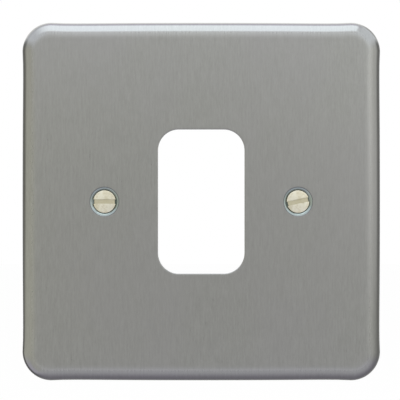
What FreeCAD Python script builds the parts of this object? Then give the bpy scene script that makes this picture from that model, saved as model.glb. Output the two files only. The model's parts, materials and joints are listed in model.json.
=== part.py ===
# Grid switch plate: a pressed steel front plate for one switch module, with two captive fixing screws.
# The frame is that of a plate on a wall: +Z is up, the face looks towards -Y, and the origin is the middle
# of the plane in which the back rim lies. Lengths are in millimetres and angles in degrees.
import FreeCAD, Part
import Sketcher
import math
import os

# Driving dimensions: alias, value, meaning
SIZES = [
    ("plate_width", 86.0, "overall width of a one-gang plate"),
    ("plate_height", 86.0, "overall height of a one-gang plate"),
    ("plate_depth", 5.0, "from the wall to the face"),
    ("sheet_thickness", 1.0, "gauge of the pressed sheet"),
    ("corner_radius", 7.0, "plan radius of the four corners, outside"),
    ("edge_roll_radius", 3.1, "radius that rolls the face over into the skirt, outside"),
    ("rim_chamfer", 0.15, "broken edges of the trimmed back rim"),
    ("aperture_width", 20.7, "opening for one module"),
    ("aperture_height", 34.5, "opening for one module"),
    ("aperture_corner_radius", 5.0, "plan radius of the opening's corners"),
    ("punched_edge_radius", 0.15, "edge that the punch draws in at the front of the opening"),
    ("screw_spacing", 46.3, "between the two fixing screws, level with the middle"),
    ("countersink_radius", 3.3, "where the cone would meet the face without the dish round it"),
    ("countersink_angle", 90.0, "included angle of the formed cone and of the screw head"),
    ("countersink_wall", 0.8, "sheet left in the wall of the formed cone"),
    ("dish_margin", 0.2, "from the cone's mouth out to the edge of the shallow dish round it"),
    ("dish_step", 0.1, "slanting step at the dish's edge"),
    ("dish_depth", 0.2, "from the face to where the dish runs into the cone"),
    ("dish_edge_radius", 0.06, "edge between the face and the dish's step"),
    ("countersink_root_radius", 0.5, "bend between the back of the sheet and the back of the cone"),
    ("countersink_nose_radius", 0.2, "edge of the cone's nose at the back"),
    ("hole_land", 0.2, "straight wall of the hole below the cone, if that brings the nose out far enough"),
    ("nose_stand", 0.3, "least that the cone's nose stands out behind the sheet"),
    ("hole_clearance", 0.2, "between the hole and the screw's thread"),
    ("head_radius", 2.7, "rim of the raised countersunk head"),
    ("head_clearance", 0.05, "between the head's cone and its countersink"),
    ("head_rim_height", 0.15, "straight rim between the head's cone and its dome"),
    ("head_dome_height", 0.15, "rise of the dome above the rim"),
    ("slot_width", 1.05, "screwdriver slot"),
    ("slot_depth", 0.55, "from the top of the dome to the floor of the slot"),
    ("left_slot_angle", 0.0, "where the left screw stopped, anticlockwise from level"),
    ("right_slot_angle", 12.0, "where the right screw stopped, anticlockwise from level"),
    ("thread_radius", 1.75, "crest of the machine thread"),
    ("shank_relief", 0.2, "how far the plain shank lies below the thread's crest"),
    ("screw_length", 12.0, "from the head's rim to the point"),
    ("point_chamfer", 0.4, "chamfer on the screw's point"),
    ("washer_radius", 3.4, "outside of the retaining washer"),
    ("washer_thickness", 0.8, "thickness of the retaining washer"),
    ("washer_chamfer", 0.15, "outer edges of the retaining washer"),
    ("washer_grip_clearance", 0.02, "between the washer's bore and the plain shank"),
    ("washer_gap", 0.3, "play of the washer behind the cone's nose"),
    ("thread_gap", 0.3, "from the washer to the start of the thread"),
]

# Sizes that follow from the driving ones, as expressions. Depths count from the face towards the wall.
TAPER = "tan(Sizes.countersink_angle / 2)"
TILT = "cos(Sizes.countersink_angle / 2)"
HOLE_RADIUS = "(Sizes.thread_radius + Sizes.hole_clearance)"
SHANK_RADIUS = "(Sizes.thread_radius - Sizes.shank_relief)"
DISH_RADIUS = "(Sizes.countersink_radius + Sizes.dish_margin)"
CONE_DEPTH = f"((Sizes.countersink_radius - {HOLE_RADIUS}) / {TAPER})"
NOSE_DEPTH = f"max({CONE_DEPTH} + Sizes.hole_land; Sizes.sheet_thickness + Sizes.nose_stand)"
NOSE_HEIGHT = f"({NOSE_DEPTH} - Sizes.sheet_thickness)"
BACK_MOUTH_RADIUS = f"(Sizes.countersink_radius + Sizes.countersink_wall / {TILT})"
HEAD_MOUTH_RADIUS = f"(Sizes.countersink_radius - Sizes.head_clearance / {TILT})"
RIM_BASE_DEPTH = f"(({HEAD_MOUTH_RADIUS} - Sizes.head_radius) / {TAPER})"
RIM_TOP_DEPTH = f"({RIM_BASE_DEPTH} - Sizes.head_rim_height)"
DOME_TOP_DEPTH = f"({RIM_TOP_DEPTH} - Sizes.head_dome_height)"
NECK_DEPTH = f"(({HEAD_MOUTH_RADIUS} - {SHANK_RADIUS}) / {TAPER})"
WASHER_FRONT_DEPTH = f"({NOSE_DEPTH} + Sizes.washer_gap)"
WASHER_BACK_DEPTH = f"({WASHER_FRONT_DEPTH} + Sizes.washer_thickness)"
WASHER_BORE_RADIUS = f"({SHANK_RADIUS} + Sizes.washer_grip_clearance)"
THREAD_START_DEPTH = f"({WASHER_BACK_DEPTH} + Sizes.thread_gap)"
POINT_DEPTH = f"({RIM_TOP_DEPTH} + Sizes.screw_length)"

# A cutter runs past what it cuts by this share of the sheet or of the head
OVERRUN = 1.2
# Two lengths nearer than this are the same
SAME = 0.001
# How a sketch numbers a line's or an arc's points, its own origin and its upright axis
START, END, MIDDLE = 1, 2, 3
ORIGIN = (-1, 1)
UPRIGHT_AXIS = -2

doc = FreeCAD.newDocument("grid_switch_plate")
sheet = doc.addObject("Spreadsheet::Sheet", "Sizes")
for row, (alias, value, meaning) in enumerate(SIZES, 1):
    sheet.set(f"A{row}", alias)
    sheet.set(f"B{row}", str(value))
    sheet.set(f"C{row}", meaning)
    sheet.setAlias(f"B{row}", alias)
doc.recompute()


def size(expression):
    """The number that an expression on the sheet comes to."""
    return float(sheet.evalExpression(expression))


def origin_feature(body, role):
    return next(item for item in body.Origin.OriginFeatures if item.Role == role)


def new_body(label):
    body = doc.addObject("PartDesign::Body", label)
    body.Label = label
    return body


def new_sketch(body, name, plane, offset=()):
    """A sketch on one of the body's own origin planes, moved by (axis, expression) pairs in its own frame."""
    sketch = body.newObject("Sketcher::SketchObject", name)
    sketch.AttachmentSupport = (origin_feature(body, plane), [""])
    sketch.MapMode = "FlatFace"
    for axis, expression in offset:
        sketch.setExpression(f"AttachmentOffset.Base.{axis}", expression)
    return sketch


def constrain(sketch, kind, *places):
    return sketch.addConstraint(Sketcher.Constraint(kind, *places))


def dimension(sketch, kind, places, expression):
    """A dimension of a sketch, bound to the sheet."""
    index = constrain(sketch, kind, *places, size(expression))
    sketch.setExpression(f"Constraints[{index}]", expression)


def pin_corner(sketch, line, end, across, along):
    """Hold one end of a line at two expressions, with "0" for a corner on the sketch's upright axis."""
    if across == "0":
        constrain(sketch, "PointOnObject", line, end, UPRIGHT_AXIS)
    else:
        dimension(sketch, "DistanceX", (*ORIGIN, line, end), across)
    dimension(sketch, "DistanceY", (*ORIGIN, line, end), along)


def add_profile(sketch, corners, dome=False):
    """Straight lines through the corners, closed by a line, or by a dome centred on the upright axis."""
    points = [FreeCAD.Vector(size(across), size(along), 0) for across, along in corners]
    ends = points[1:] if dome else points[1:] + points[:1]
    lines = [sketch.addGeometry(Part.LineSegment(start, end)) for start, end in zip(points, ends)]
    for line, following in zip(lines, lines[1:]):
        constrain(sketch, "Coincident", line, END, following, START)
    for line, (across, along) in zip(lines, corners):
        pin_corner(sketch, line, START, across, along)
    if not dome:
        constrain(sketch, "Coincident", lines[-1], END, lines[0], START)
        return
    pin_corner(sketch, lines[-1], END, *corners[-1])
    rim, top = points[0], points[-1]
    rise = rim.y - top.y
    radius = (rim.x**2 + rise**2) / (2 * rise)
    middle = FreeCAD.Vector(0, top.y + radius, 0)
    half_way = middle + ((rim + top) / 2 - middle).normalize() * radius
    arc = sketch.addGeometry(Part.Arc(top, half_way, rim))
    starts_at_top = sketch.Geometry[arc].StartPoint.isEqual(top, SAME)
    top_end, rim_end = (START, END) if starts_at_top else (END, START)
    constrain(sketch, "Coincident", arc, top_end, lines[-1], END)
    constrain(sketch, "Coincident", arc, rim_end, lines[0], START)
    constrain(sketch, "PointOnObject", arc, MIDDLE, UPRIGHT_AXIS)


def add_rounded_rectangle(sketch, width, height, radius):
    """A rectangle about the sketch's origin with four equal corner arcs."""
    corner = size(radius)
    reach_x = size(width) / 2 - corner
    reach_z = size(height) / 2 - corner
    arcs = []
    for quarter, (x_side, z_side) in enumerate([(1, 1), (-1, 1), (-1, -1), (1, -1)]):
        middle = FreeCAD.Vector(x_side * reach_x, z_side * reach_z, 0)
        circle = Part.Circle(middle, FreeCAD.Vector(0, 0, 1), corner)
        first_angle = quarter * math.pi / 2
        arcs.append(sketch.addGeometry(Part.ArcOfCircle(circle, first_angle, first_angle + math.pi / 2)))
    sides = []
    for arc, following in zip(arcs, arcs[1:] + arcs[:1]):
        line = Part.LineSegment(sketch.Geometry[arc].EndPoint, sketch.Geometry[following].StartPoint)
        side = sketch.addGeometry(line)
        constrain(sketch, "Tangent", arc, END, side, START)
        constrain(sketch, "Tangent", side, END, following, START)
        sides.append(side)
    for arc, following in zip(arcs, arcs[1:]):
        constrain(sketch, "Equal", arc, following)
    top, left, bottom, right = sides
    for level in (top, bottom):
        constrain(sketch, "Horizontal", level)
    for upright in (left, right):
        constrain(sketch, "Vertical", upright)
    constrain(sketch, "Symmetric", arcs[0], MIDDLE, arcs[2], MIDDLE, *ORIGIN)
    dimension(sketch, "Radius", (arcs[0],), radius)
    dimension(sketch, "DistanceX", (left, START, right, START), width)
    dimension(sketch, "DistanceY", (bottom, START, top, START), height)


def turned(body, kind, name, sketch):
    """A Revolution or Groove all the way round the sketch's upright axis."""
    feature = body.newObject(f"PartDesign::{kind}", name)
    feature.Profile = sketch
    feature.ReferenceAxis = (sketch, ["V_Axis"])
    feature.Angle = 360
    return feature


def dressed(body, kind, name, base, wanted, expression):
    """A Fillet or Chamfer on the edges of the base feature that pass a test."""
    doc.recompute()
    names = [f"Edge{number}" for number, edge in enumerate(base.Shape.Edges, 1) if wanted(edge)]
    feature = body.newObject(f"PartDesign::{kind}", name)
    feature.Base = (base, names)
    feature.setExpression("Radius" if kind == "Fillet" else "Size", expression)
    return feature


def at_depth(depth):
    """A test for edges that lie in the plane at this depth behind the plate's face."""
    level = size(depth) - size("Sizes.plate_depth")

    def wanted(edge):
        box = edge.BoundBox
        return abs(box.YMin - level) < SAME and abs(box.YMax - level) < SAME

    return wanted


def ring(depth, radius):
    """A test for circles of this radius at this depth behind the plate's face."""
    level = at_depth(depth)
    length = size(radius)

    def wanted(edge):
        return level(edge) and isinstance(edge.Curve, Part.Circle) and abs(edge.Curve.Radius - length) < SAME

    return wanted


def build_plate():
    """One pressed sheet: a rolled edge all round, a dished countersink each side and a punched opening."""
    body = new_body("front_plate")
    blank_outline = new_sketch(body, "blank_outline", "XZ_Plane")
    add_rounded_rectangle(blank_outline, "Sizes.plate_width", "Sizes.plate_height", "Sizes.corner_radius")
    drawn_block = body.newObject("PartDesign::Pad", "drawn_block")
    drawn_block.Profile = blank_outline
    drawn_block.setExpression("Length", "Sizes.plate_depth")
    edge_roll = dressed(body, "Fillet", "edge_roll", drawn_block, at_depth("0"), "Sizes.edge_roll_radius")

    doc.recompute()
    open_back = [f"Face{number}" for number, face in enumerate(edge_roll.Shape.Faces, 1)
                 if abs(face.BoundBox.YMin) < SAME]
    drawn_shell = body.newObject("PartDesign::Thickness", "drawn_shell")
    drawn_shell.Base = (edge_roll, open_back)
    drawn_shell.setExpression("Value", "Sizes.sheet_thickness")
    drawn_shell.Reversed = True

    screw_axis = [("x", "-Sizes.screw_spacing / 2"), ("y", "-Sizes.plate_depth")]
    nose_section = new_sketch(body, "nose_section", "XY_Plane", screw_axis)
    half_sheet = "(Sizes.sheet_thickness / 2)"
    add_profile(nose_section, [
        ("0", half_sheet),
        (f"{BACK_MOUTH_RADIUS} - {half_sheet} * {TAPER}", half_sheet),
        (f"{BACK_MOUTH_RADIUS} - {NOSE_DEPTH} * {TAPER}", NOSE_DEPTH),
        ("0", NOSE_DEPTH),
    ])
    formed_nose = turned(body, "Revolution", "formed_nose", nose_section)

    seat_section = new_sketch(body, "seat_section", "XY_Plane", screw_axis)
    before_face = f"(-{OVERRUN} * Sizes.sheet_thickness)"
    add_profile(seat_section, [
        ("0", before_face),
        (DISH_RADIUS, before_face),
        (DISH_RADIUS, "0"),
        (f"{DISH_RADIUS} - Sizes.dish_step", "Sizes.dish_step"),
        (f"Sizes.countersink_radius - Sizes.dish_depth * {TAPER}", "Sizes.dish_depth"),
        (HOLE_RADIUS, CONE_DEPTH),
        (HOLE_RADIUS, f"{OVERRUN} * {NOSE_DEPTH}"),
        ("0", f"{OVERRUN} * {NOSE_DEPTH}"),
    ])
    formed_seat = turned(body, "Groove", "formed_seat", seat_section)

    both_sides = body.newObject("PartDesign::Mirrored", "both_sides")
    both_sides.Originals = [formed_nose, formed_seat]
    both_sides.MirrorPlane = (origin_feature(body, "YZ_Plane"), [""])
    body.Tip = both_sides

    aperture_outline = new_sketch(body, "aperture_outline", "XZ_Plane")
    add_rounded_rectangle(aperture_outline, "Sizes.aperture_width", "Sizes.aperture_height",
                          "Sizes.aperture_corner_radius")
    aperture = body.newObject("PartDesign::Pocket", "aperture")
    aperture.Profile = aperture_outline
    aperture.Type = "ThroughAll"
    aperture.Reversed = True

    dish_edge = dressed(body, "Fillet", "dish_edge", aperture, ring("0", DISH_RADIUS),
                        "Sizes.dish_edge_radius")
    root_radius = f"{BACK_MOUTH_RADIUS} - Sizes.sheet_thickness * {TAPER}"
    root = dressed(body, "Fillet", "root", dish_edge, ring("Sizes.sheet_thickness", root_radius),
                   f"min(Sizes.countersink_root_radius; {NOSE_HEIGHT})")
    nose_radius = f"{BACK_MOUTH_RADIUS} - {NOSE_DEPTH} * {TAPER}"
    nose = dressed(body, "Fillet", "nose", root, ring(NOSE_DEPTH, nose_radius),
                   f"min(Sizes.countersink_nose_radius; {NOSE_HEIGHT} / 2)")

    on_face = at_depth("0")
    opening_x = size("Sizes.aperture_width / 2") + SAME
    opening_z = size("Sizes.aperture_height / 2") + SAME

    def beside_opening(edge):
        middle = edge.BoundBox.Center
        return on_face(edge) and abs(middle.x) < opening_x and abs(middle.z) < opening_z

    punched_edge = dressed(body, "Fillet", "punched_edge", nose, beside_opening, "Sizes.punched_edge_radius")
    dressed(body, "Chamfer", "rim_edge", punched_edge, at_depth("Sizes.plate_depth"), "Sizes.rim_chamfer")
    return body


def place_on_axis(body, side, slot_angle):
    """Stand a body on one screw's axis, its own origin at the plate's face, turned as its slot stopped."""
    body.Placement = FreeCAD.Placement(FreeCAD.Vector(), FreeCAD.Rotation(FreeCAD.Vector(0, -1, 0), 1))
    body.setExpression("Placement.Base.x", f"{side} * Sizes.screw_spacing / 2")
    body.setExpression("Placement.Base.y", "-Sizes.plate_depth")
    body.setExpression("Placement.Rotation.Angle", slot_angle)


def build_screw(label):
    """A slotted raised countersunk screw with a plain shank behind its head."""
    body = new_body(label)
    section = new_sketch(body, f"{label}_section", "XY_Plane")
    add_profile(section, [
        ("Sizes.head_radius", RIM_TOP_DEPTH),
        ("Sizes.head_radius", RIM_BASE_DEPTH),
        (SHANK_RADIUS, NECK_DEPTH),
        (SHANK_RADIUS, THREAD_START_DEPTH),
        ("Sizes.thread_radius", f"{THREAD_START_DEPTH} + Sizes.shank_relief"),
        ("Sizes.thread_radius", f"{POINT_DEPTH} - Sizes.point_chamfer"),
        ("Sizes.thread_radius - Sizes.point_chamfer", POINT_DEPTH),
        ("0", POINT_DEPTH),
        ("0", DOME_TOP_DEPTH),
    ], dome=True)
    turned(body, "Revolution", f"{label}_blank", section)
    slot_outline = new_sketch(body, f"{label}_slot_outline", "XZ_Plane", [("z", f"-{DOME_TOP_DEPTH}")])
    half_length = f"{OVERRUN} * Sizes.head_radius"
    half_width = "Sizes.slot_width / 2"
    add_profile(slot_outline, [
        (half_length, half_width),
        (f"-{half_length}", half_width),
        (f"-{half_length}", f"-{half_width}"),
        (half_length, f"-{half_width}"),
    ])
    slot = body.newObject("PartDesign::Pocket", f"{label}_slot")
    slot.Profile = slot_outline
    slot.setExpression("Length", "Sizes.slot_depth")
    return body


def build_washer(label):
    """A moulded ring that grips the plain shank and keeps the screw in the plate."""
    body = new_body(label)
    section = new_sketch(body, f"{label}_section", "XY_Plane")
    add_profile(section, [
        (WASHER_BORE_RADIUS, WASHER_FRONT_DEPTH),
        ("Sizes.washer_radius", WASHER_FRONT_DEPTH),
        ("Sizes.washer_radius", WASHER_BACK_DEPTH),
        (WASHER_BORE_RADIUS, WASHER_BACK_DEPTH),
    ])
    blank = turned(body, "Revolution", f"{label}_blank", section)
    outside = size("Sizes.washer_radius")

    def outer_edge(edge):
        return isinstance(edge.Curve, Part.Circle) and abs(edge.Curve.Radius - outside) < SAME

    dressed(body, "Chamfer", f"{label}_edge", blank, outer_edge, "Sizes.washer_chamfer")
    return body


pieces = [build_plate()]
for side_name, side in (("left", -1), ("right", 1)):
    slot_angle = f"Sizes.{side_name}_slot_angle"
    for piece in (build_screw(f"{side_name}_screw"), build_washer(f"{side_name}_retaining_washer")):
        place_on_axis(piece, side, slot_angle)
        pieces.append(piece)
doc.recompute()

for item in doc.Objects:
    if "Invalid" in item.State or "Error" in item.State:
        raise RuntimeError(f"{item.Name} did not build: {item.State}")
    if item.TypeId in ("PartDesign::Pocket", "PartDesign::Groove"):
        if item.Shape.Volume >= item.BaseFeature.Shape.Volume:
            raise RuntimeError(f"{item.Name} cut nothing")
for piece in pieces:
    if piece.Shape.isNull() or not piece.Shape.isValid() or len(piece.Shape.Solids) != 1:
        raise RuntimeError(f"{piece.Label} is not one sound solid")

os.makedirs("parts", exist_ok=True)
for piece in pieces:
    piece.Shape.exportStep(f"parts/{piece.Label}.step")
    box = piece.Shape.BoundBox
    print(f"{piece.Label}: {piece.Shape.Volume:.1f} mm3, "
          f"X {box.XMin:.2f} to {box.XMax:.2f}, Y {box.YMin:.2f} to {box.YMax:.2f}, "
          f"Z {box.ZMin:.2f} to {box.ZMax:.2f}")
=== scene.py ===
"""Looks of a grid switch plate: brushed and lacquered pressed steel, plated captive screws, nylon washers."""
import bmesh
import bpy
import json
import math
from mathutils import Matrix, Vector


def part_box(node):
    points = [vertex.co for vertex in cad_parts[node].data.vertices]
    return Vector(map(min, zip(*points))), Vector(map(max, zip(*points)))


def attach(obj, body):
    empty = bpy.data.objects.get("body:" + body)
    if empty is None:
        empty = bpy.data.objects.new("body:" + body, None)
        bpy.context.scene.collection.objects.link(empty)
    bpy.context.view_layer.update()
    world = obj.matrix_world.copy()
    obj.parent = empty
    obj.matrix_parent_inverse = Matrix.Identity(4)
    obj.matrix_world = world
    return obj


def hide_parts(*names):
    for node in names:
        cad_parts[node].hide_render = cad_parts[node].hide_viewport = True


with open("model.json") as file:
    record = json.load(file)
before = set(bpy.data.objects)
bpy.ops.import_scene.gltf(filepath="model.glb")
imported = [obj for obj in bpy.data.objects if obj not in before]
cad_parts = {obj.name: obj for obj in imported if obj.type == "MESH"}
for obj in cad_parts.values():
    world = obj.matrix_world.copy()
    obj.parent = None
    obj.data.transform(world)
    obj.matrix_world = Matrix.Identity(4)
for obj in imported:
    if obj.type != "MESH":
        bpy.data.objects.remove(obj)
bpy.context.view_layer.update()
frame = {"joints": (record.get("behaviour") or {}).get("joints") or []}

MM = 0.001
FULL_TURN = 2 * math.pi

# The plate, from the frame's box
plate_low, plate_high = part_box("front_plate")
HALF_PLATE = plate_high.x
FACE = plate_low.y
RIM = plate_high.y

# Sizes of the pressing
SHEET = 1.0 * MM
CORNER = 7.0 * MM
EDGE_ROLL = 3.1 * MM
RIM_EDGE = 0.12 * MM
HALF_APERTURE = (10.35 * MM, 17.25 * MM)
APERTURE_CORNER = 5.0 * MM
PUNCHED_EDGE = 0.15 * MM
PUNCHED_BURR = 0.05 * MM

# Next to the roll the face falls away a little, and the start of the roll with it
CROWN_SLOPE = 0.06
CROWN_WIDTH = 1.0 * MM
CROWN_FADE = 1.6 * MM
CROWN_STEPS = 4

# Beside each corner the side of the pressing springs in a little
SPRING_IN = 0.13 * MM
SPRING_PEAK = 6.0 * MM

# Sizes of the formed countersinks
MOUTH = 3.3 * MM
DISH = 3.5 * MM
DISH_STEP = 0.1 * MM
DISH_DEPTH = 0.2 * MM
DISH_EDGE = 0.06 * MM
HOLE = 1.95 * MM
HOLE_LAND = 0.2 * MM
CONE_WALL = 0.8 * MM
ROOT = 0.4 * MM
NOSE = 0.2 * MM

# Sizes of the screws
HEAD = 2.7 * MM
HEAD_CLEARANCE = 0.05 * MM
HEAD_RIM = 0.15 * MM
HEAD_DOME = 0.15 * MM
HEAD_EDGE = 0.05 * MM
SLOT_WIDTH = 1.05 * MM
SLOT_DEPTH = 0.55 * MM
SLOT_EDGE = 0.04 * MM
SLOT_ANGLES = {"left_screw": 0.0, "right_screw": math.radians(12.0)}
THREAD = 1.75 * MM
SHANK = 1.55 * MM
PITCH = 0.6 * MM
THREAD_DEPTH = 0.5413 * PITCH
THREAD_GAP = 0.3 * MM
POINT_CHAMFER = 0.4 * MM
TURNING_PITCH = 0.12 * MM

# Outline of the thread over one pitch, in shares of its depth and of the pitch
THREAD_OUTLINE = ((0, 0), (0, 1 / 4), (1, 9 / 16), (1, 11 / 16), (0, 1))

# Sizes of the washers
GRIP_CLEARANCE = 0.02 * MM
WASHER_EDGE = 0.15 * MM
BORE_EDGE = 0.05 * MM

# Steps in round stretches
CORNER_STEPS = 28
ROLL_STEPS = 20
SIDE_CUTS = 23
EDGE_STEPS = 3
ROUND_STEPS = 96
THREAD_STEPS = 48
DOME_STEPS = 14
FORMED_STEPS = 6

# Edges sharper than this are creased
SHARP = math.radians(35)

# Flat strip kept beside a rounded edge, so that the flat next to it shades flat
FLAT_STRIP = 0.5 * MM

# Sizes of the studio
TENT = 160.0 * MM
TENT_CORNER = 40.0 * MM
TENT_FRONT = -320.0 * MM
TENT_BACK = 250.0 * MM
FLOOR_LEVEL = -200.0 * MM
FLOOR_REACH = 6.0

# The photograph's frame, in its pixels, and the camera
PICTURE_PIXELS = 400
PLATE_PIXELS = 357.6
CENTRE_PIXEL = (201.25, 201.6)
CAMERA_DISTANCE = 0.5

# Grains of the finishes, in lumps to the metre along each axis
STROKES = (2300, 420, 220)
HAIRLINES = (7000, 1300, 1100)
CLOUDS = (38, 38, 30)
ROLLING_LINES = (1500, 300, 90)
STAINS = (70, 90, 55)
TEARS = (3500, 500, 3500)
SCUFFS = (1600, 1600, 1600)
TARNISH_SPOTS = (480, 480, 480)
NYLON_CLOUDS = (700, 700, 700)
NYLON_GRAIN = (9000, 9000, 9000)

# Limits between which those grains set in as marks
FINE_MARKS = (0.3, 0.7)
ROLLED_MARKS = (0.25, 0.75)
STAIN_MARKS = (0.35, 0.7)
WORN_MARKS = (0.45, 0.75)
TARNISH_MARKS = (0.48, 0.62)

# How far marks cover the colour below them
CLOUD_COVER = 0.4
# The dark ring round each dish's edge is painted shade
DISH_SHADE_COVER = 0.9
STAIN_COVER = 0.45
TARNISH_COVER = 0.6
# The slot's floor is darkened by painted shade
SLOT_SHADE_COVER = 0.8

# Share of its roughness that the steel loses where it is pressed
BURNISHING = 0.5

# How far the scuffs push the turning marks out of round
TURNING_WOBBLE = 3.0

# Depths of the grains
BRUSHING_DEPTH = 0.004 * MM
TURNING_DEPTH = 0.006 * MM
ROUGH_DEPTH = 0.01 * MM

# Depths below the face: where the roll has lost its brushing, and where the painted shade on a slot's floor
# sets in and ends
PRESSED_DEPTH = 0.35 * MM
SLOT_FLOOR_START = (0.5 * MM, 0.7 * MM)
SLOT_FLOOR_END = (1.0 * MM, 0.85 * MM)

# Colours of the finishes
STEEL_DARK = (0.202, 0.204, 0.187, 1)
STEEL_LIGHT = (0.243, 0.245, 0.226, 1)
STEEL_CLOUDED = (0.229, 0.2245, 0.221, 1)
STEEL_DISHED = (0.216, 0.25, 0.233, 1)
# Painted shade: the dark ring round the crisp edge of each dish
PAINTED_DISH_SHADE = (0.08, 0.085, 0.09, 1)
BARE_DARK = (0.30, 0.297, 0.288, 1)
BARE_LIGHT = (0.38, 0.377, 0.366, 1)
BARE_STAINED = (0.27, 0.26, 0.245, 1)
SHEARED_DARK = (0.30, 0.30, 0.30, 1)
SHEARED_LIGHT = (0.45, 0.45, 0.45, 1)
PLATING = (0.583, 0.563, 0.456, 1)
PLATING_WORN = (0.475, 0.437, 0.32, 1)
PLATING_TARNISHED = (0.445, 0.408, 0.285, 1)
# Painted shade on the floor of a slot
PLATING_SHADED_IN_SLOT = (0.415, 0.383, 0.262, 1)
NYLON_DARK = (0.74, 0.73, 0.66, 1)
NYLON_LIGHT = (0.82, 0.81, 0.76, 1)

# Zones of the tent: each sets in between two places along an axis
ROOF = (70 * MM, 115 * MM)
GROUND = (5 * MM, -60 * MM)
ABOVE = (50 * MM, 130 * MM)
BELOW = (-50 * MM, -130 * MM)
SIDES = (60 * MM, 100 * MM)
LEFT_WALL = (-60 * MM, -150 * MM)
UPPER_RIGHT = (80 * MM, 125 * MM)
WINDOW_ACROSS = (85 * MM, 115 * MM)
WINDOW_UP = (-70 * MM, 60 * MM)
OBSERVER = (105 * MM, 80 * MM)
OBSERVER_UPPER = (0.0, 35 * MM)
LOW_FRONT_DOWN = (-90 * MM, -150 * MM)
LOW_FRONT_FORWARD = (-180 * MM, -290 * MM)
NEARER_FRONT = (0.0, -250 * MM)
BESIDE = (-120 * MM, 0.0)
BEHIND = (-30 * MM, 45 * MM)
BEHIND_GROUND = (-150 * MM, 60 * MM)
BEHIND_GROUND_LEFT = (20 * MM, 80 * MM)
FAR_BACK = (55 * MM, 115 * MM)
SOFTBOX_FRONT = (-165 * MM, -125 * MM)
SOFTBOX_BACK = (45 * MM, 0.0)
SOFTBOX_LEFT = (-155 * MM, -45 * MM)
SOFTBOX_RIGHT = (80 * MM, 74 * MM)

# Light of the tent's cloth: its highest, its plain one, and what the zones add to that or take away
PEAK_LIGHT = 3.0
PLAIN_LIGHT = 1.12
ROOF_LIGHT = 0.7
WINDOW_LIGHT = 0.15
WINDOW_FRONT_LIGHT = 0.72
LEFT_WALL_LIGHT = 0.06
LOW_FRONT_LIGHT = 0.22
UPPER_RIGHT_SHADE = 0.72
OBSERVER_SHADE = 0.15
OBSERVER_UPPER_LIGHT = 0.09

# The observer's light also rises with its height, by this much to the metre
OBSERVER_RISE = 1.0

# Shares of that light which are lost behind the plate
WALL_LOSS = 0.68
ROOF_LOSS = 0.23
GROUND_LOSS = 0.6
GROUND_LEFT_LOSS = 0.8
UPPER_RIGHT_RELIEF = 0.8
UPPER_RIGHT_BACK_LOSS = 0.5

# Tints of the tent's cloth, and the colour of its softbox
PLAIN_TINT = (1.0, 1.0, 1.0)
LEFT_WALL_TINT = (1.01, 1.0, 0.92)
ROOF_TINT = (0.975, 0.985, 1.03)
UPPER_CORNER_TINT = (0.95, 0.985, 1.08)
GROUND_TINT = (0.97, 0.965, 1.08)
BESIDE_TINT = (0.98, 0.945, 1.12)
SOFTBOX_COLOUR = (3.0, 3.18, 3.5, 1)

# Share of the ground's tint that is kept off the left wall
LEFT_WALL_UNTINTED = 0.7

# Slots of the plate's three surfaces
LACQUERED, BARE, SHEARED = 0, 1, 2

# Two places nearer than this are the same
SAME = 1e-7


# Shapes


def upright(half_width, half_height, depth):
    """Matrix that sets a flat square of side 2 upright, looking to the front, at a place along Y."""
    turn = Matrix.Rotation(math.pi / 2, 4, "X")
    return Matrix.Translation((0, depth, 0)) @ turn @ Matrix.Diagonal((half_width, half_height, 1, 1))


def rounded_face(bm, half_width, half_height, radius, depth):
    """A rounded rectangle that looks to the front."""
    others = set(bm.faces)
    grid = bmesh.ops.create_grid(bm, x_segments=1, y_segments=1, size=1.0,
                                 matrix=upright(half_width, half_height, depth))
    bmesh.ops.bevel(bm, geom=grid["verts"], offset=radius, offset_type="OFFSET", affect="VERTICES",
                    segments=CORNER_STEPS, profile=0.5, material=-1)
    return next(face for face in bm.faces if face not in others)


def framed_hole(bm, face, strip, steps=1):
    """Turns a face into a strip round its edge and gives the edges of the hole that is left."""
    for _ in range(steps):
        bmesh.ops.inset_region(bm, faces=[face], thickness=strip / steps, use_boundary=True,
                               use_even_offset=True)
    edges = list(face.edges)
    bmesh.ops.delete(bm, geom=[face], context="FACES_ONLY")
    return edges


def loose_loops(bm, depth):
    """The open edges that lie at a place along Y."""
    return [edge for edge in bm.edges
            if edge.is_boundary and all(abs(vert.co.y - depth) < SAME for vert in edge.verts)]


def paint(items, finish):
    """Gives the faces among some items a slot."""
    for item in items:
        if isinstance(item, bmesh.types.BMFace):
            item.material_index = finish


def paint_side(bm, faces, finish):
    """Gives one side of the sheet its slot, and turns the back to look backwards."""
    paint(faces, finish)
    if finish == BARE:
        bmesh.ops.reverse_faces(bm, faces=faces)


def bridge(bm, edges, finish=0):
    """Closes the gap between two loops of edges."""
    made = bmesh.ops.bridge_loops(bm, edges=edges)
    paint(made["faces"], finish)


def wire(bm, points, closed=False):
    """A run of straight edges through the points."""
    verts = [bm.verts.new(point) for point in points]
    ends = verts[1:] + verts[:1] if closed else verts[1:]
    for pair in zip(verts, ends):
        bm.edges.new(pair)
    return verts


def round_off(bm, vert, radius, steps):
    """Rounds a corner of a wire."""
    arms = [(edge.other_vert(vert).co - vert.co).normalized() for edge in vert.link_edges]
    half_bend = (math.pi - arms[0].angle(arms[1])) / 2
    bmesh.ops.bevel(bm, geom=[vert], offset=radius * math.tan(half_bend), offset_type="OFFSET",
                    affect="VERTICES", segments=steps, profile=0.5, material=-1)


def turn_round(bm):
    """Spins a wire once round the Y axis."""
    bmesh.ops.spin(bm, geom=list(bm.verts) + list(bm.edges), cent=(0, 0, 0), axis=(0, 1, 0),
                   angle=FULL_TURN, steps=ROUND_STEPS, use_merge=True)
    bmesh.ops.remove_doubles(bm, verts=list(bm.verts), dist=SAME)


def take_over(bm, other):
    """Moves another bmesh into this one."""
    mesh = bpy.data.meshes.new("passing")
    other.to_mesh(mesh)
    other.free()
    bm.from_mesh(mesh)
    bpy.data.meshes.remove(mesh)


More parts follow.
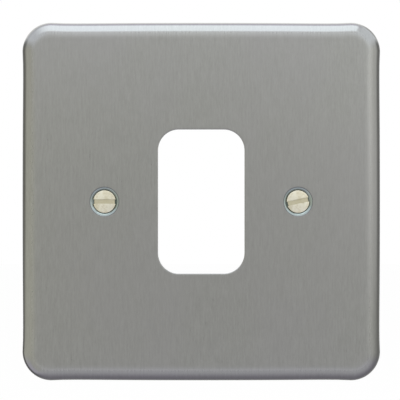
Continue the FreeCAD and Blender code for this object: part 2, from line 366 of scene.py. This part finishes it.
def finished(bm, name, body, finishes):
    """Makes a closed bmesh the piece that stands for the CAD node of that name."""
    bmesh.ops.remove_doubles(bm, verts=list(bm.verts), dist=SAME)
    bmesh.ops.recalc_face_normals(bm, faces=list(bm.faces))
    for face in bm.faces:
        face.smooth = True
    mesh = bpy.data.meshes.new(name)
    bm.to_mesh(mesh)
    bm.free()
    mesh.set_sharp_from_angle(angle=SHARP)
    for finish in finishes:
        mesh.materials.append(finish.material)
    piece = bpy.data.objects.new("finished_" + name, mesh)
    bpy.context.scene.collection.objects.link(piece)
    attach(piece, body)
    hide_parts(name)


# The pressed plate


def spring_in(bm, half, corner):
    """Draws the sides in beside the corners, most of all a little way along each side."""
    straight = half - corner
    for vert in bm.verts:
        for along, across in ((0, 2), (2, 0)):
            run = straight - abs(vert.co[along])
            if run > 0 and abs(vert.co[across]) > straight:
                share = run / SPRING_PEAK
                amount = SPRING_IN * share * math.exp(1 - share)
                vert.co[across] -= math.copysign(amount, vert.co[across])


def crown(bm, half, corner, roll):
    """Lets the face fall away towards the roll, down to a slope that fades out again round the roll."""
    straight = half - corner
    for vert in bm.verts:
        beyond = Vector((max(0, abs(vert.co.x) - straight), max(0, abs(vert.co.z) - straight)))
        round_roll = roll - corner + beyond.length
        across_face = min(0, round_roll) + CROWN_WIDTH
        if vert.co.y < RIM - SAME and across_face > 0:
            fading = min(max(0, round_roll), CROWN_FADE)
            before_roll = across_face ** 2 / (2 * CROWN_WIDTH)
            on_roll = fading - fading ** 2 / (2 * CROWN_FADE)
            vert.co.y += CROWN_SLOPE * (before_roll + on_roll)


def tray_skin(half, corner, roll, front, finish):
    """One side of the tray's sheet: the face, rolled over into a skirt, with a hole in its middle."""
    bm = bmesh.new()
    face = rounded_face(bm, half, half, corner, front)
    sides = [edge for edge in face.edges if edge.calc_length() > half]
    bmesh.ops.bisect_edges(bm, edges=sides, cuts=SIDE_CUTS)
    grown = bmesh.ops.extrude_edge_only(bm, edges=list(face.edges))
    skirt = [item for item in grown["geom"] if isinstance(item, bmesh.types.BMVert)]
    bmesh.ops.translate(bm, verts=skirt, vec=(0, RIM - front, 0))
    bmesh.ops.bevel(bm, geom=list(face.edges), offset=roll, offset_type="OFFSET", affect="EDGES",
                    segments=ROLL_STEPS, profile=0.5, material=-1, clamp_overlap=False)
    rolled_face = max(bm.faces, key=lambda item: len(item.verts))
    framed_hole(bm, rolled_face, CROWN_WIDTH, CROWN_STEPS)
    crown(bm, half, corner, roll)
    spring_in(bm, half, corner)
    paint_side(bm, list(bm.faces), finish)
    return bm


def cone_side(centre, points, rounds, finish):
    """One side of a formed countersink: a wire with some corners rounded, turned about a screw's axis."""
    bm = bmesh.new()
    corners = wire(bm, points)
    for index, radius in rounds:
        round_off(bm, corners[index], radius, FORMED_STEPS)
    turn_round(bm)
    paint(bm.faces, finish)
    bmesh.ops.translate(bm, verts=list(bm.verts), vec=centre)
    return bm


def formed_countersink(bm, centre):
    """Adds what is pressed into the sheet for a screw: a shallow dish with a crisp edge, and a cone in it."""
    back = FACE + SHEET
    cone_end = FACE + MOUTH - HOLE
    nose_end = cone_end + HOLE_LAND
    back_mouth = MOUTH + CONE_WALL * math.sqrt(2)
    nose_edge = back_mouth - (nose_end - FACE)
    root = back_mouth - SHEET
    front_points = [(DISH + FLAT_STRIP, FACE, 0), (DISH, FACE, 0), (DISH - DISH_STEP, FACE + DISH_STEP, 0),
                    (MOUTH - DISH_DEPTH, FACE + DISH_DEPTH, 0), (HOLE, cone_end, 0), (HOLE, nose_end, 0)]
    back_points = [(HOLE, nose_end, 0), (nose_edge, nose_end, 0), (root, back, 0),
                   (root + FLAT_STRIP, back, 0)]
    front_rounds = [(index, DISH_EDGE) for index in (1, 2, 3)]
    back_rounds = [(1, NOSE), (2, ROOT)]
    take_over(bm, cone_side(centre, front_points, front_rounds, LACQUERED))
    take_over(bm, cone_side(centre, back_points, back_rounds, BARE))


def framed_aperture(bm, depth, finish):
    """Adds the strip of sheet round the aperture and gives the edges of its mouth."""
    width, height = (size + FLAT_STRIP for size in HALF_APERTURE)
    face = rounded_face(bm, width, height, APERTURE_CORNER + FLAT_STRIP, depth)
    paint_side(bm, [face], finish)
    return framed_hole(bm, face, FLAT_STRIP)


def fill_sheet(bm, depth, mouth, finish):
    """Fills the flat of the sheet between the rolled edge, the countersinks and the aperture's strip."""
    edges = [edge for edge in loose_loops(bm, depth) if edge not in mouth]
    filled = bmesh.ops.triangle_fill(bm, use_beauty=True, edges=edges, normal=(0, -1, 0))
    paint(filled["geom"], finish)


def break_edges(bm, edges, amount):
    """Rounds the edges that a punch or a trim has left."""
    bmesh.ops.bevel(bm, geom=edges, offset=amount, offset_type="OFFSET", affect="EDGES",
                    segments=EDGE_STEPS, profile=0.5, material=-1)


def make_plate(axes, finishes):
    """The pressed plate: two skins of sheet, joined round the rim and the aperture."""
    bm = tray_skin(HALF_PLATE, CORNER, EDGE_ROLL, FACE, LACQUERED)
    take_over(bm, tray_skin(HALF_PLATE - SHEET, CORNER - SHEET, EDGE_ROLL - SHEET, FACE + SHEET, BARE))
    rim_edges = loose_loops(bm, RIM)
    bridge(bm, rim_edges, SHEARED)
    break_edges(bm, rim_edges, RIM_EDGE)
    for centre in axes:
        formed_countersink(bm, centre)
    bmesh.ops.remove_doubles(bm, verts=list(bm.verts), dist=SAME)
    mouths = []
    for depth, finish in ((FACE, LACQUERED), (FACE + SHEET, BARE)):
        mouth = framed_aperture(bm, depth, finish)
        fill_sheet(bm, depth, mouth, finish)
        mouths.append(mouth)
    bridge(bm, mouths[0] + mouths[1], SHEARED)
    break_edges(bm, mouths[0], PUNCHED_EDGE)
    break_edges(bm, mouths[1], PUNCHED_BURR)
    finished(bm, "front_plate", "plate", finishes)


# The screws and their washers


def slotted_head(shank_end, slot_angle):
    """A raised countersunk head with its slot, on a plain shank that is open at its end."""
    bm = bmesh.new()
    head_mouth = MOUTH - HEAD_CLEARANCE * math.sqrt(2)
    rim_base = FACE + head_mouth - HEAD
    rim_top = rim_base - HEAD_RIM
    dome_top = rim_top - HEAD_DOME
    dome_radius = (HEAD ** 2 + HEAD_DOME ** 2) / (2 * HEAD_DOME)
    apex = bm.verts.new((0, dome_top, 0))
    dome = bmesh.ops.spin(bm, geom=[apex], cent=(0, dome_top + dome_radius, 0), axis=(0, 0, 1),
                          angle=math.asin(HEAD / dome_radius), steps=DOME_STEPS)
    dome_edge = next(item for item in dome["geom_last"] if isinstance(item, bmesh.types.BMVert))
    below = wire(bm, [(HEAD, rim_base, 0), (SHANK, FACE + head_mouth - SHANK, 0), (SHANK, shank_end, 0)])
    bm.edges.new((dome_edge, below[0]))
    for corner in (dome_edge, below[0]):
        round_off(bm, corner, HEAD_EDGE, EDGE_STEPS)
    turn_round(bm)
    cut_slot(bm, dome_top + SLOT_DEPTH, slot_angle, rim_top)
    return bm


def cut_slot(bm, floor, angle, rim_top):
    """Cuts the screwdriver's slot across a head, down to its floor."""
    along = Vector((math.cos(angle), 0, math.sin(angle)))
    across = Vector((-math.sin(angle), 0, math.cos(angle)))
    half_slot = SLOT_WIDTH / 2
    cuts = [(across * half_slot, across), (-across * half_slot, across),
            (Vector((0, floor, 0)), Vector((0, 1, 0)))]
    for place, normal in cuts:
        bmesh.ops.bisect_plane(bm, geom=list(bm.verts) + list(bm.edges) + list(bm.faces), dist=2 * SLOT_EDGE,
                               plane_co=place, plane_no=normal, use_snap_center=True)
    inside = []
    for face in bm.faces:
        middle = face.calc_center_median()
        if abs(middle.dot(across)) < half_slot and middle.y < floor:
            inside.append(face)
    bmesh.ops.delete(bm, geom=inside, context="FACES")
    lips = [edge for edge in bm.edges if edge.is_boundary and max(v.co.y for v in edge.verts) < floor + SAME]
    floor_verts = {vert for edge in lips for vert in edge.verts if abs(vert.co.y - floor) < SAME}
    floor_edges = [edge for edge in lips if all(vert in floor_verts for vert in edge.verts)]
    rounded = []
    for side in (-1, 1):
        wall = [edge for edge in lips
                if all(abs(vert.co.dot(across) - side * half_slot) < SAME for vert in edge.verts)]
        ends = sorted((vert for vert in floor_verts if abs(vert.co.dot(across) - side * half_slot) < SAME),
                      key=lambda vert: vert.co.dot(along))
        foot = bm.edges.new((ends[0], ends[-1]))
        bmesh.ops.edgeloop_fill(bm, edges=wall + [foot])
        floor_edges.append(foot)
        rounded += [edge for edge in wall if max(vert.co.y for vert in edge.verts) < rim_top]
    bmesh.ops.edgeloop_fill(bm, edges=floor_edges)
    break_edges(bm, rounded, SLOT_EDGE)


def machine_thread(start, point):
    """A screw thread, open where it runs out on the shank and closed at its chamfered point."""
    bm = bmesh.new()
    root = THREAD - THREAD_DEPTH
    turns = math.ceil((point - start) / PITCH) + 2
    wire(bm, [(root + height * THREAD_DEPTH, start + (along - 1) * PITCH, 0)
              for height, along in THREAD_OUTLINE])
    bmesh.ops.spin(bm, geom=list(bm.verts) + list(bm.edges), cent=(0, 0, 0), axis=(0, 1, 0),
                   dvec=(0, PITCH / THREAD_STEPS, 0), angle=FULL_TURN * turns, steps=THREAD_STEPS * turns)
    bmesh.ops.remove_doubles(bm, verts=list(bm.verts), dist=SAME)
    for place, sides in ((start, {"clear_inner": True}), (point, {"clear_outer": True})):
        bmesh.ops.bisect_plane(bm, geom=list(bm.verts) + list(bm.edges) + list(bm.faces), dist=SAME,
                               plane_co=(0, place, 0), plane_no=(0, 1, 0), **sides)
    for vert in bm.verts:
        radius = math.hypot(vert.co.x, vert.co.z)
        run_in = min(1, max(0, (vert.co.y - start) / PITCH))
        wanted = min(SHANK + (radius - SHANK) * run_in, THREAD - POINT_CHAMFER + point - vert.co.y)
        vert.co.x *= wanted / radius
        vert.co.z *= wanted / radius
    bmesh.ops.edgeloop_fill(bm, edges=loose_loops(bm, point))
    return bm


def make_screw(name, centre, slot_angle, finishes):
    """A captive screw: its head and plain shank, and the thread behind the washer."""
    washer_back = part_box(name.replace("screw", "retaining_washer"))[1].y
    thread_start = washer_back + THREAD_GAP
    bm = slotted_head(washer_back, slot_angle)
    take_over(bm, machine_thread(thread_start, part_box(name)[1].y))
    bridge(bm, loose_loops(bm, washer_back) + loose_loops(bm, thread_start))
    bmesh.ops.translate(bm, verts=list(bm.verts), vec=centre)
    finished(bm, name, name, finishes)


def make_washer(name, body, centre, finishes):
    """A ring with eased edges that grips the shank and turns with the screw."""
    low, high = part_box(name)
    outside = high.x - centre.x
    bore = SHANK + GRIP_CLEARANCE
    bm = bmesh.new()
    section = [(bore, low.y, 0), (outside, low.y, 0), (outside, high.y, 0), (bore, high.y, 0)]
    corners = wire(bm, section, closed=True)
    for corner, radius in zip(corners, (BORE_EDGE, WASHER_EDGE, WASHER_EDGE, BORE_EDGE)):
        round_off(bm, corner, radius, EDGE_STEPS)
    turn_round(bm)
    bmesh.ops.translate(bm, verts=list(bm.verts), vec=centre)
    finished(bm, name, body, finishes)


# Finishes


class Signal:
    """An output socket of a finish's nodes. Arithmetic on it adds Math nodes."""

    def __init__(self, finish, socket):
        self.finish = finish
        self.socket = socket

    def math(self, operation, *terms):
        return self.finish.node("ShaderNodeMath", {"operation": operation}, dict(enumerate(terms)))

    def __add__(self, other):
        return self.math("ADD", self, other)

    def __sub__(self, other):
        return self.math("SUBTRACT", self, other)

    def __rsub__(self, other):
        return self.math("SUBTRACT", other, self)

    def __mul__(self, other):
        return self.math("MULTIPLY", self, other)

    def __truediv__(self, other):
        return self.math("DIVIDE", self, other)

    def __rtruediv__(self, other):
        return self.math("DIVIDE", other, self)

    def __pow__(self, other):
        return self.math("POWER", self, other)

    def __abs__(self):
        return self.math("ABSOLUTE", self)

    def sine(self):
        return self.math("SINE", self)

    __radd__ = __add__
    __rmul__ = __mul__


class Finish:
    """A material of nodes on Object coordinates, with one shader whose plain values are set at the start."""

    def __init__(self, name, **values):
        self.material = bpy.data.materials.new(name)
        self.material.use_nodes = True
        self.tree = self.material.node_tree
        self.shader = self.tree.nodes["Principled BSDF"]
        for socket, value in values.items():
            self.shader.inputs[socket.replace("_", " ").title().replace("Ior", "IOR")].default_value = value

    def node(self, kind, settings=None, sockets=None, output=0):
        """Adds a node, its settings first and then its sockets' values or links, and gives an output."""
        made = self.tree.nodes.new(kind)
        for name, value in (settings or {}).items():
            setattr(made, name, value)
        for name, value in (sockets or {}).items():
            if isinstance(value, Signal):
                self.tree.links.new(value.socket, made.inputs[name])
            else:
                made.inputs[name].default_value = value
        return Signal(self, made.outputs[output])

    def feed(self, **signals):
        """Links signals to the shader."""
        for name, signal in signals.items():
            self.tree.links.new(signal.socket, self.shader.inputs[name.replace("_", " ").title()])

    def place(self):
        """Where a point lies on the object."""
        return self.node("ShaderNodeTexCoord", output="Object")

    def split(self, vector):
        """The three parts of a vector."""
        return [self.node("ShaderNodeSeparateXYZ", sockets={0: vector}, output=axis) for axis in range(3)]

    def noise(self, place, scale, detail, rough=0.5):
        """Noise from about 0 to 1, with so many lumps to the metre along each axis."""
        stretched = self.node("ShaderNodeMapping", {"vector_type": "POINT"},
                              {"Vector": place, "Scale": scale})
        return self.node("ShaderNodeTexNoise", None,
                         {"Vector": stretched, "Scale": 1.0, "Detail": detail, "Roughness": rough})

    def step(self, signal, start, end):
        """Rises smoothly from 0 to 1 as the signal goes from start to end, up or down."""
        return self.node("ShaderNodeMapRange", {"interpolation_type": "SMOOTHSTEP"},
                         {0: signal, 1: start, 2: end, 3: 0.0, 4: 1.0})

    def marks(self, place, scale, detail, limits=FINE_MARKS):
        """Rough noise pushed apart into marks."""
        return self.step(self.noise(place, scale, detail, rough=0.6), *limits)

    def mix(self, share, first, second):
        """A colour between two."""
        return self.node("ShaderNodeMix", {"data_type": "RGBA"}, {0: share, 6: first, 7: second}, output=2)

    def bump(self, height, distance, strength):
        """A normal that follows a height."""
        return self.node("ShaderNodeBump", None,
                         {"Height": height, "Distance": distance, "Strength": strength})


def grey(level):
    """An opaque grey."""
    return (level, level, level, 1.0)


def lacquered_steel(screw_axis):
    """Upright brushing under clear lacquer, burnished smoother where the sheet was rolled and pressed, with a
    dark ring of painted shade round the crisp edge of each dish.
    """
    finish = Finish("lacquered_steel", metallic=1.0, anisotropic=0.3, coat_weight=0.6, coat_roughness=0.04)
    place = finish.place()
    x, y, z = finish.split(place)
    from_screw = ((abs(x) - abs(screw_axis.x)) ** 2 + z ** 2) ** 0.5
    dished = finish.step(from_screw, DISH, DISH - DISH_STEP)
    # A dark ring of painted shade round the crisp edge of each dish
    dish_edge_shade = (finish.step(from_screw, DISH + DISH_STEP, DISH)
             * finish.step(from_screw, DISH - 2 * DISH_STEP, DISH))
    brushing = (finish.marks(place, STROKES, detail=4.0) * 0.5
                + finish.marks(place, HAIRLINES, detail=3.0) * 0.5)
    cloud = finish.noise(place, CLOUDS, detail=3.0)
    pressed = finish.step(y, FACE, FACE + PRESSED_DEPTH)
    colour = finish.mix(brushing, STEEL_DARK, STEEL_LIGHT)
    colour = finish.mix(finish.step(cloud, *FINE_MARKS) * CLOUD_COVER, colour, STEEL_CLOUDED)
    colour = finish.mix(dished, colour, STEEL_DISHED)
    # Lays the painted shade of the dish's edge over the steel
    colour = finish.mix(dish_edge_shade * DISH_SHADE_COVER, colour, PAINTED_DISH_SHADE)
    rough = 0.26 + 0.08 * brushing + 0.03 * cloud
    finish.feed(base_color=colour, roughness=rough * (1 - BURNISHING * pressed),
                normal=finish.bump(brushing * (1 - pressed), BRUSHING_DEPTH, strength=0.5))
    return finish


def bare_steel():
    """Plain rolled sheet with a few stains, for the back."""
    finish = Finish("bare_steel", metallic=1.0)
    place = finish.place()
    rolled = finish.marks(place, ROLLING_LINES, detail=4.0, limits=ROLLED_MARKS)
    stain = finish.marks(place, STAINS, detail=4.0, limits=STAIN_MARKS)
    colour = finish.mix(rolled, BARE_DARK, BARE_LIGHT)
    colour = finish.mix(stain * STAIN_COVER, colour, BARE_STAINED)
    finish.feed(base_color=colour, roughness=0.40 + 0.1 * rolled + 0.12 * stain,
                normal=finish.bump(rolled, ROUGH_DEPTH, strength=0.6))
    return finish


def sheared_steel():
    """The torn grain of a punched or trimmed edge."""
    finish = Finish("sheared_steel", metallic=1.0)
    tears = finish.marks(finish.place(), TEARS, detail=3.0)
    finish.feed(base_color=finish.mix(tears, SHEARED_DARK, SHEARED_LIGHT), roughness=0.32 + 0.2 * tears,
                normal=finish.bump(tears, ROUGH_DEPTH, strength=0.7))
    return finish


def plated_brass(centre):
    """Dull nickel plate with fine turning marks, worn, tarnished in spots and darker in the slot with painted
    shade.
    """
    finish = Finish("plated_brass", metallic=1.0)
    place = finish.node("ShaderNodeMapping", {"vector_type": "POINT"},
                        {"Vector": finish.place(), "Location": tuple(-centre)})
    x, y, z = finish.split(place)
    radius = (x * x + z * z) ** 0.5
    depth = y - FACE
    scuff = finish.noise(place, SCUFFS, detail=4.0, rough=0.65)
    turns = radius * (FULL_TURN / TURNING_PITCH) + scuff * TURNING_WOBBLE
    turning = turns.sine() * 0.5 + 0.5
    worn = finish.step(scuff, *WORN_MARKS)
    spots = finish.noise(place, TARNISH_SPOTS, detail=3.0, rough=0.55)
    tarnish = finish.step(spots, *TARNISH_MARKS)
    # Painted shade, darker down on the floor of the slot
    slot_floor_shade = finish.step(depth, *SLOT_FLOOR_START) * finish.step(depth, *SLOT_FLOOR_END)
    colour = finish.mix(worn, PLATING, PLATING_WORN)
    colour = finish.mix(tarnish * TARNISH_COVER, colour, PLATING_TARNISHED)
    colour = finish.mix(slot_floor_shade * SLOT_SHADE_COVER, colour, PLATING_SHADED_IN_SLOT)
    finish.feed(base_color=colour, roughness=0.3 + 0.1 * worn + 0.05 * turning,
                normal=finish.bump(turning * 0.5 + scuff, TURNING_DEPTH, strength=0.6))
    return finish


def natural_nylon():
    """Slightly cloudy moulded nylon with a fine grain."""
    finish = Finish("natural_nylon", subsurface_weight=0.15, subsurface_scale=0.6 * MM)
    place = finish.place()
    cloud = finish.noise(place, NYLON_CLOUDS, detail=3.0)
    grain = finish.noise(place, NYLON_GRAIN, detail=2.0)
    finish.feed(base_color=finish.mix(cloud, NYLON_DARK, NYLON_LIGHT), roughness=0.38 + 0.16 * grain,
                normal=finish.bump(grain, ROUGH_DEPTH, strength=0.5))
    return finish


# Studio


def from_front(tilt, bearing):
    """Direction so many degrees off the way out of the face, towards a bearing: 0 is right and 90 is up."""
    tilt, bearing = math.radians(tilt), math.radians(bearing)
    return Vector((math.sin(tilt) * math.cos(bearing), -math.cos(tilt), math.sin(tilt) * math.sin(bearing)))


def soft_lamp(name, tilt, bearing, distance, size, radiance, colour):
    """A rectangular lamp that looks at the plate and glows as brightly as a white of that radiance."""
    data = bpy.data.lights.new(name, "AREA")
    data.shape = "RECTANGLE"
    data.size, data.size_y = size
    data.energy = radiance * math.pi * size[0] * size[1]
    data.color = colour
    lamp = bpy.data.objects.new(name, data)
    direction = from_front(tilt, bearing)
    lamp.location = direction * distance
    lamp.rotation_mode = "QUATERNION"
    lamp.rotation_quaternion = direction.to_track_quat("Z", "Y")
    lamp.visible_camera = False
    lamp.visible_glossy = False
    bpy.context.scene.collection.objects.link(lamp)


def staged(bm, name, finishes):
    """Makes a bmesh a thing of the studio, which isn't part of the object."""
    mesh = bpy.data.meshes.new(name)
    bm.to_mesh(mesh)
    bm.free()
    for finish in finishes:
        mesh.materials.append(finish.material)
    thing = bpy.data.objects.new(name, mesh)
    bpy.context.scene.collection.objects.link(thing)
    return thing


class Zones:
    """How far each zone of the tent has set in, from 0 to 1, and the height."""

    def __init__(self, finish):
        x, y, z = finish.split(finish.place())
        self.height = z
        self.roof = finish.step(z, *ROOF)
        self.ground = finish.step(z, *GROUND)
        self.above = finish.step(z, *ABOVE)
        self.below = finish.step(z, *BELOW)
        self.sides = finish.step(abs(x), *SIDES)
        self.left_wall = finish.step(x, *LEFT_WALL)
        self.upper_right = finish.step(x, *UPPER_RIGHT) * finish.step(z, *UPPER_RIGHT)
        self.window = finish.step(x, *WINDOW_ACROSS) * finish.step(z, *WINDOW_UP)
        self.observer = finish.step(abs(x), *OBSERVER) * finish.step(abs(z), *OBSERVER)
        self.observer_upper = finish.step(z, *OBSERVER_UPPER)
        self.low_front = finish.step(z, *LOW_FRONT_DOWN) * finish.step(y, *LOW_FRONT_FORWARD)
        self.nearer_front = finish.step(y, *NEARER_FRONT)
        self.beside = finish.step(y, *BESIDE)
        self.behind = finish.step(y, *BEHIND)
        self.far_back = finish.step(y, *FAR_BACK)
        start, end = [middle + (left - middle) * self.left_wall
                      for middle, left in zip(BEHIND_GROUND, BEHIND_GROUND_LEFT)]
        self.behind_ground = finish.step(y, start, end)
        self.softbox = (self.roof * finish.step(y, *SOFTBOX_FRONT) * finish.step(y, *SOFTBOX_BACK)
                        * finish.step(x, *SOFTBOX_LEFT) * finish.step(x, *SOFTBOX_RIGHT))


def full_light(zones):
    """Light of the tent's cloth before any of it is lost behind the plate."""
    observer_light = (OBSERVER_RISE * zones.height + OBSERVER_UPPER_LIGHT * zones.observer_upper
                      - OBSERVER_SHADE)
    window_light = WINDOW_LIGHT + WINDOW_FRONT_LIGHT * zones.nearer_front
    return (PLAIN_LIGHT + window_light * zones.window + ROOF_LIGHT * zones.roof
            + observer_light * zones.observer
            + LEFT_WALL_LIGHT * zones.left_wall * (1 - zones.above - zones.below)
            + LOW_FRONT_LIGHT * zones.low_front
            - UPPER_RIGHT_SHADE * zones.upper_right * zones.nearer_front)


def kept_light(zones):
    """Share of the light that is not lost behind the plate."""
    wall_loss = zones.behind * (WALL_LOSS + (ROOF_LOSS - WALL_LOSS) * zones.roof)
    ground_loss = zones.behind_ground * (GROUND_LOSS + (GROUND_LEFT_LOSS - GROUND_LOSS) * zones.left_wall)
    loss = wall_loss * (1 - zones.ground) + ground_loss * zones.ground
    relief = UPPER_RIGHT_RELIEF * zones.upper_right * (1 - zones.far_back)
    corner_loss = UPPER_RIGHT_BACK_LOSS * zones.upper_right * zones.far_back
    return (1 - loss * (1 - relief)) * (1 - corner_loss)


def tinted(tint):
    """The tent's brightest cloth with a tint."""
    return tuple(PEAK_LIGHT * part for part in tint) + (1.0,)


def brightest_cloth(finish, zones):
    """The tent's brightest cloth, with one zone's tint laid over another's."""
    upper_edge = zones.above * (1 - zones.sides)
    tints = ((zones.left_wall, LEFT_WALL_TINT), (zones.above, ROOF_TINT),
             (zones.above * zones.sides, UPPER_CORNER_TINT),
             (zones.below * (1 - LEFT_WALL_UNTINTED * zones.left_wall), GROUND_TINT),
             ((upper_edge + zones.below) * zones.beside, BESIDE_TINT), (zones.far_back, PLAIN_TINT))
    cloth = tinted(PLAIN_TINT)
    for share, tint in tints:
        cloth = finish.mix(share, cloth, tinted(tint))
    return cloth


def tent_cloth():
    """Glows as the studio round the plate: a softbox above, a window to the upper right, dark at the back."""
    finish = Finish("tent_cloth", specular_ior_level=0.0, emission_strength=1.0)
    finish.shader.inputs["Base Color"].default_value = grey(0.0)
    zones = Zones(finish)
    light = full_light(zones) * kept_light(zones)
    colour = finish.mix(light / PEAK_LIGHT, grey(0.0), brightest_cloth(finish, zones))
    finish.feed(emission_color=finish.mix(zones.softbox, colour, SOFTBOX_COLOUR))
    finish.material.cycles.emission_sampling = "NONE"
    return finish


def light_tent():
    """A tent round the plate, open at its back, seen only in the plate's reflections."""
    bm = bmesh.new()
    front = rounded_face(bm, TENT, TENT, TENT_CORNER, TENT_FRONT)
    grown = bmesh.ops.extrude_edge_only(bm, edges=list(front.edges))
    back = [item for item in grown["geom"] if isinstance(item, bmesh.types.BMVert)]
    bmesh.ops.translate(bm, verts=back, vec=(0, TENT_BACK - TENT_FRONT, 0))
    tent = staged(bm, "light_tent", [tent_cloth()])
    tent.visible_camera = False
    tent.visible_diffuse = False
    tent.visible_shadow = False
    tent.visible_transmission = False


def floor():
    """A plain pale floor, well below the plate."""
    bm = bmesh.new()
    bmesh.ops.create_grid(bm, x_segments=1, y_segments=1, size=FLOOR_REACH,
                          matrix=Matrix.Translation((0, 0, FLOOR_LEVEL)))
    finish = Finish("pale_floor", roughness=0.9, specular_ior_level=0.0)
    finish.shader.inputs["Base Color"].default_value = grey(0.99)
    staged(bm, "floor", [finish])


def white_room():
    """A white surround of plain strength, with colours shown as they are written."""
    world = bpy.data.worlds.new("white_room")
    world.use_nodes = True
    background = world.node_tree.nodes["Background"]
    background.inputs["Color"].default_value = (1, 1, 1, 1)
    background.inputs["Strength"].default_value = 1.0
    bpy.context.scene.world = world
    bpy.context.scene.view_settings.view_transform = "Standard"


def camera():
    """Looks straight at the face from where the plate fills the picture as it does in the photograph."""
    pixel = 2 * HALF_PLATE / PLATE_PIXELS
    data = bpy.data.cameras.new("camera")
    data.lens = data.sensor_width * CAMERA_DISTANCE / (PICTURE_PIXELS * pixel)
    view = bpy.data.objects.new("camera", data)
    across, down = (place - PICTURE_PIXELS / 2 for place in CENTRE_PIXEL)
    view.location = (-across * pixel, FACE + EDGE_ROLL - CAMERA_DISTANCE, down * pixel)
    view.rotation_euler = (math.pi / 2, 0, 0)
    bpy.context.scene.collection.objects.link(view)
    bpy.context.scene.camera = view


# Assembly

joints = {joint["child"]: joint for joint in frame["joints"]}
axes = {name: Vector(joints[name]["pos_m"]) for name in SLOT_ANGLES}

make_plate(axes.values(), [lacquered_steel(axes["right_screw"]), bare_steel(), sheared_steel()])
nylon = natural_nylon()
for screw_name, screw_axis in axes.items():
    make_screw(screw_name, screw_axis, SLOT_ANGLES[screw_name], [plated_brass(screw_axis)])
    make_washer(screw_name.replace("screw", "retaining_washer"), screw_name, screw_axis, [nylon])

white_room()
floor()
light_tent()
soft_lamp("top_softbox", tilt=60, bearing=80, distance=0.7, size=(0.6, 0.6), radiance=0.8,
          colour=(0.95, 0.98, 1.0))
camera()
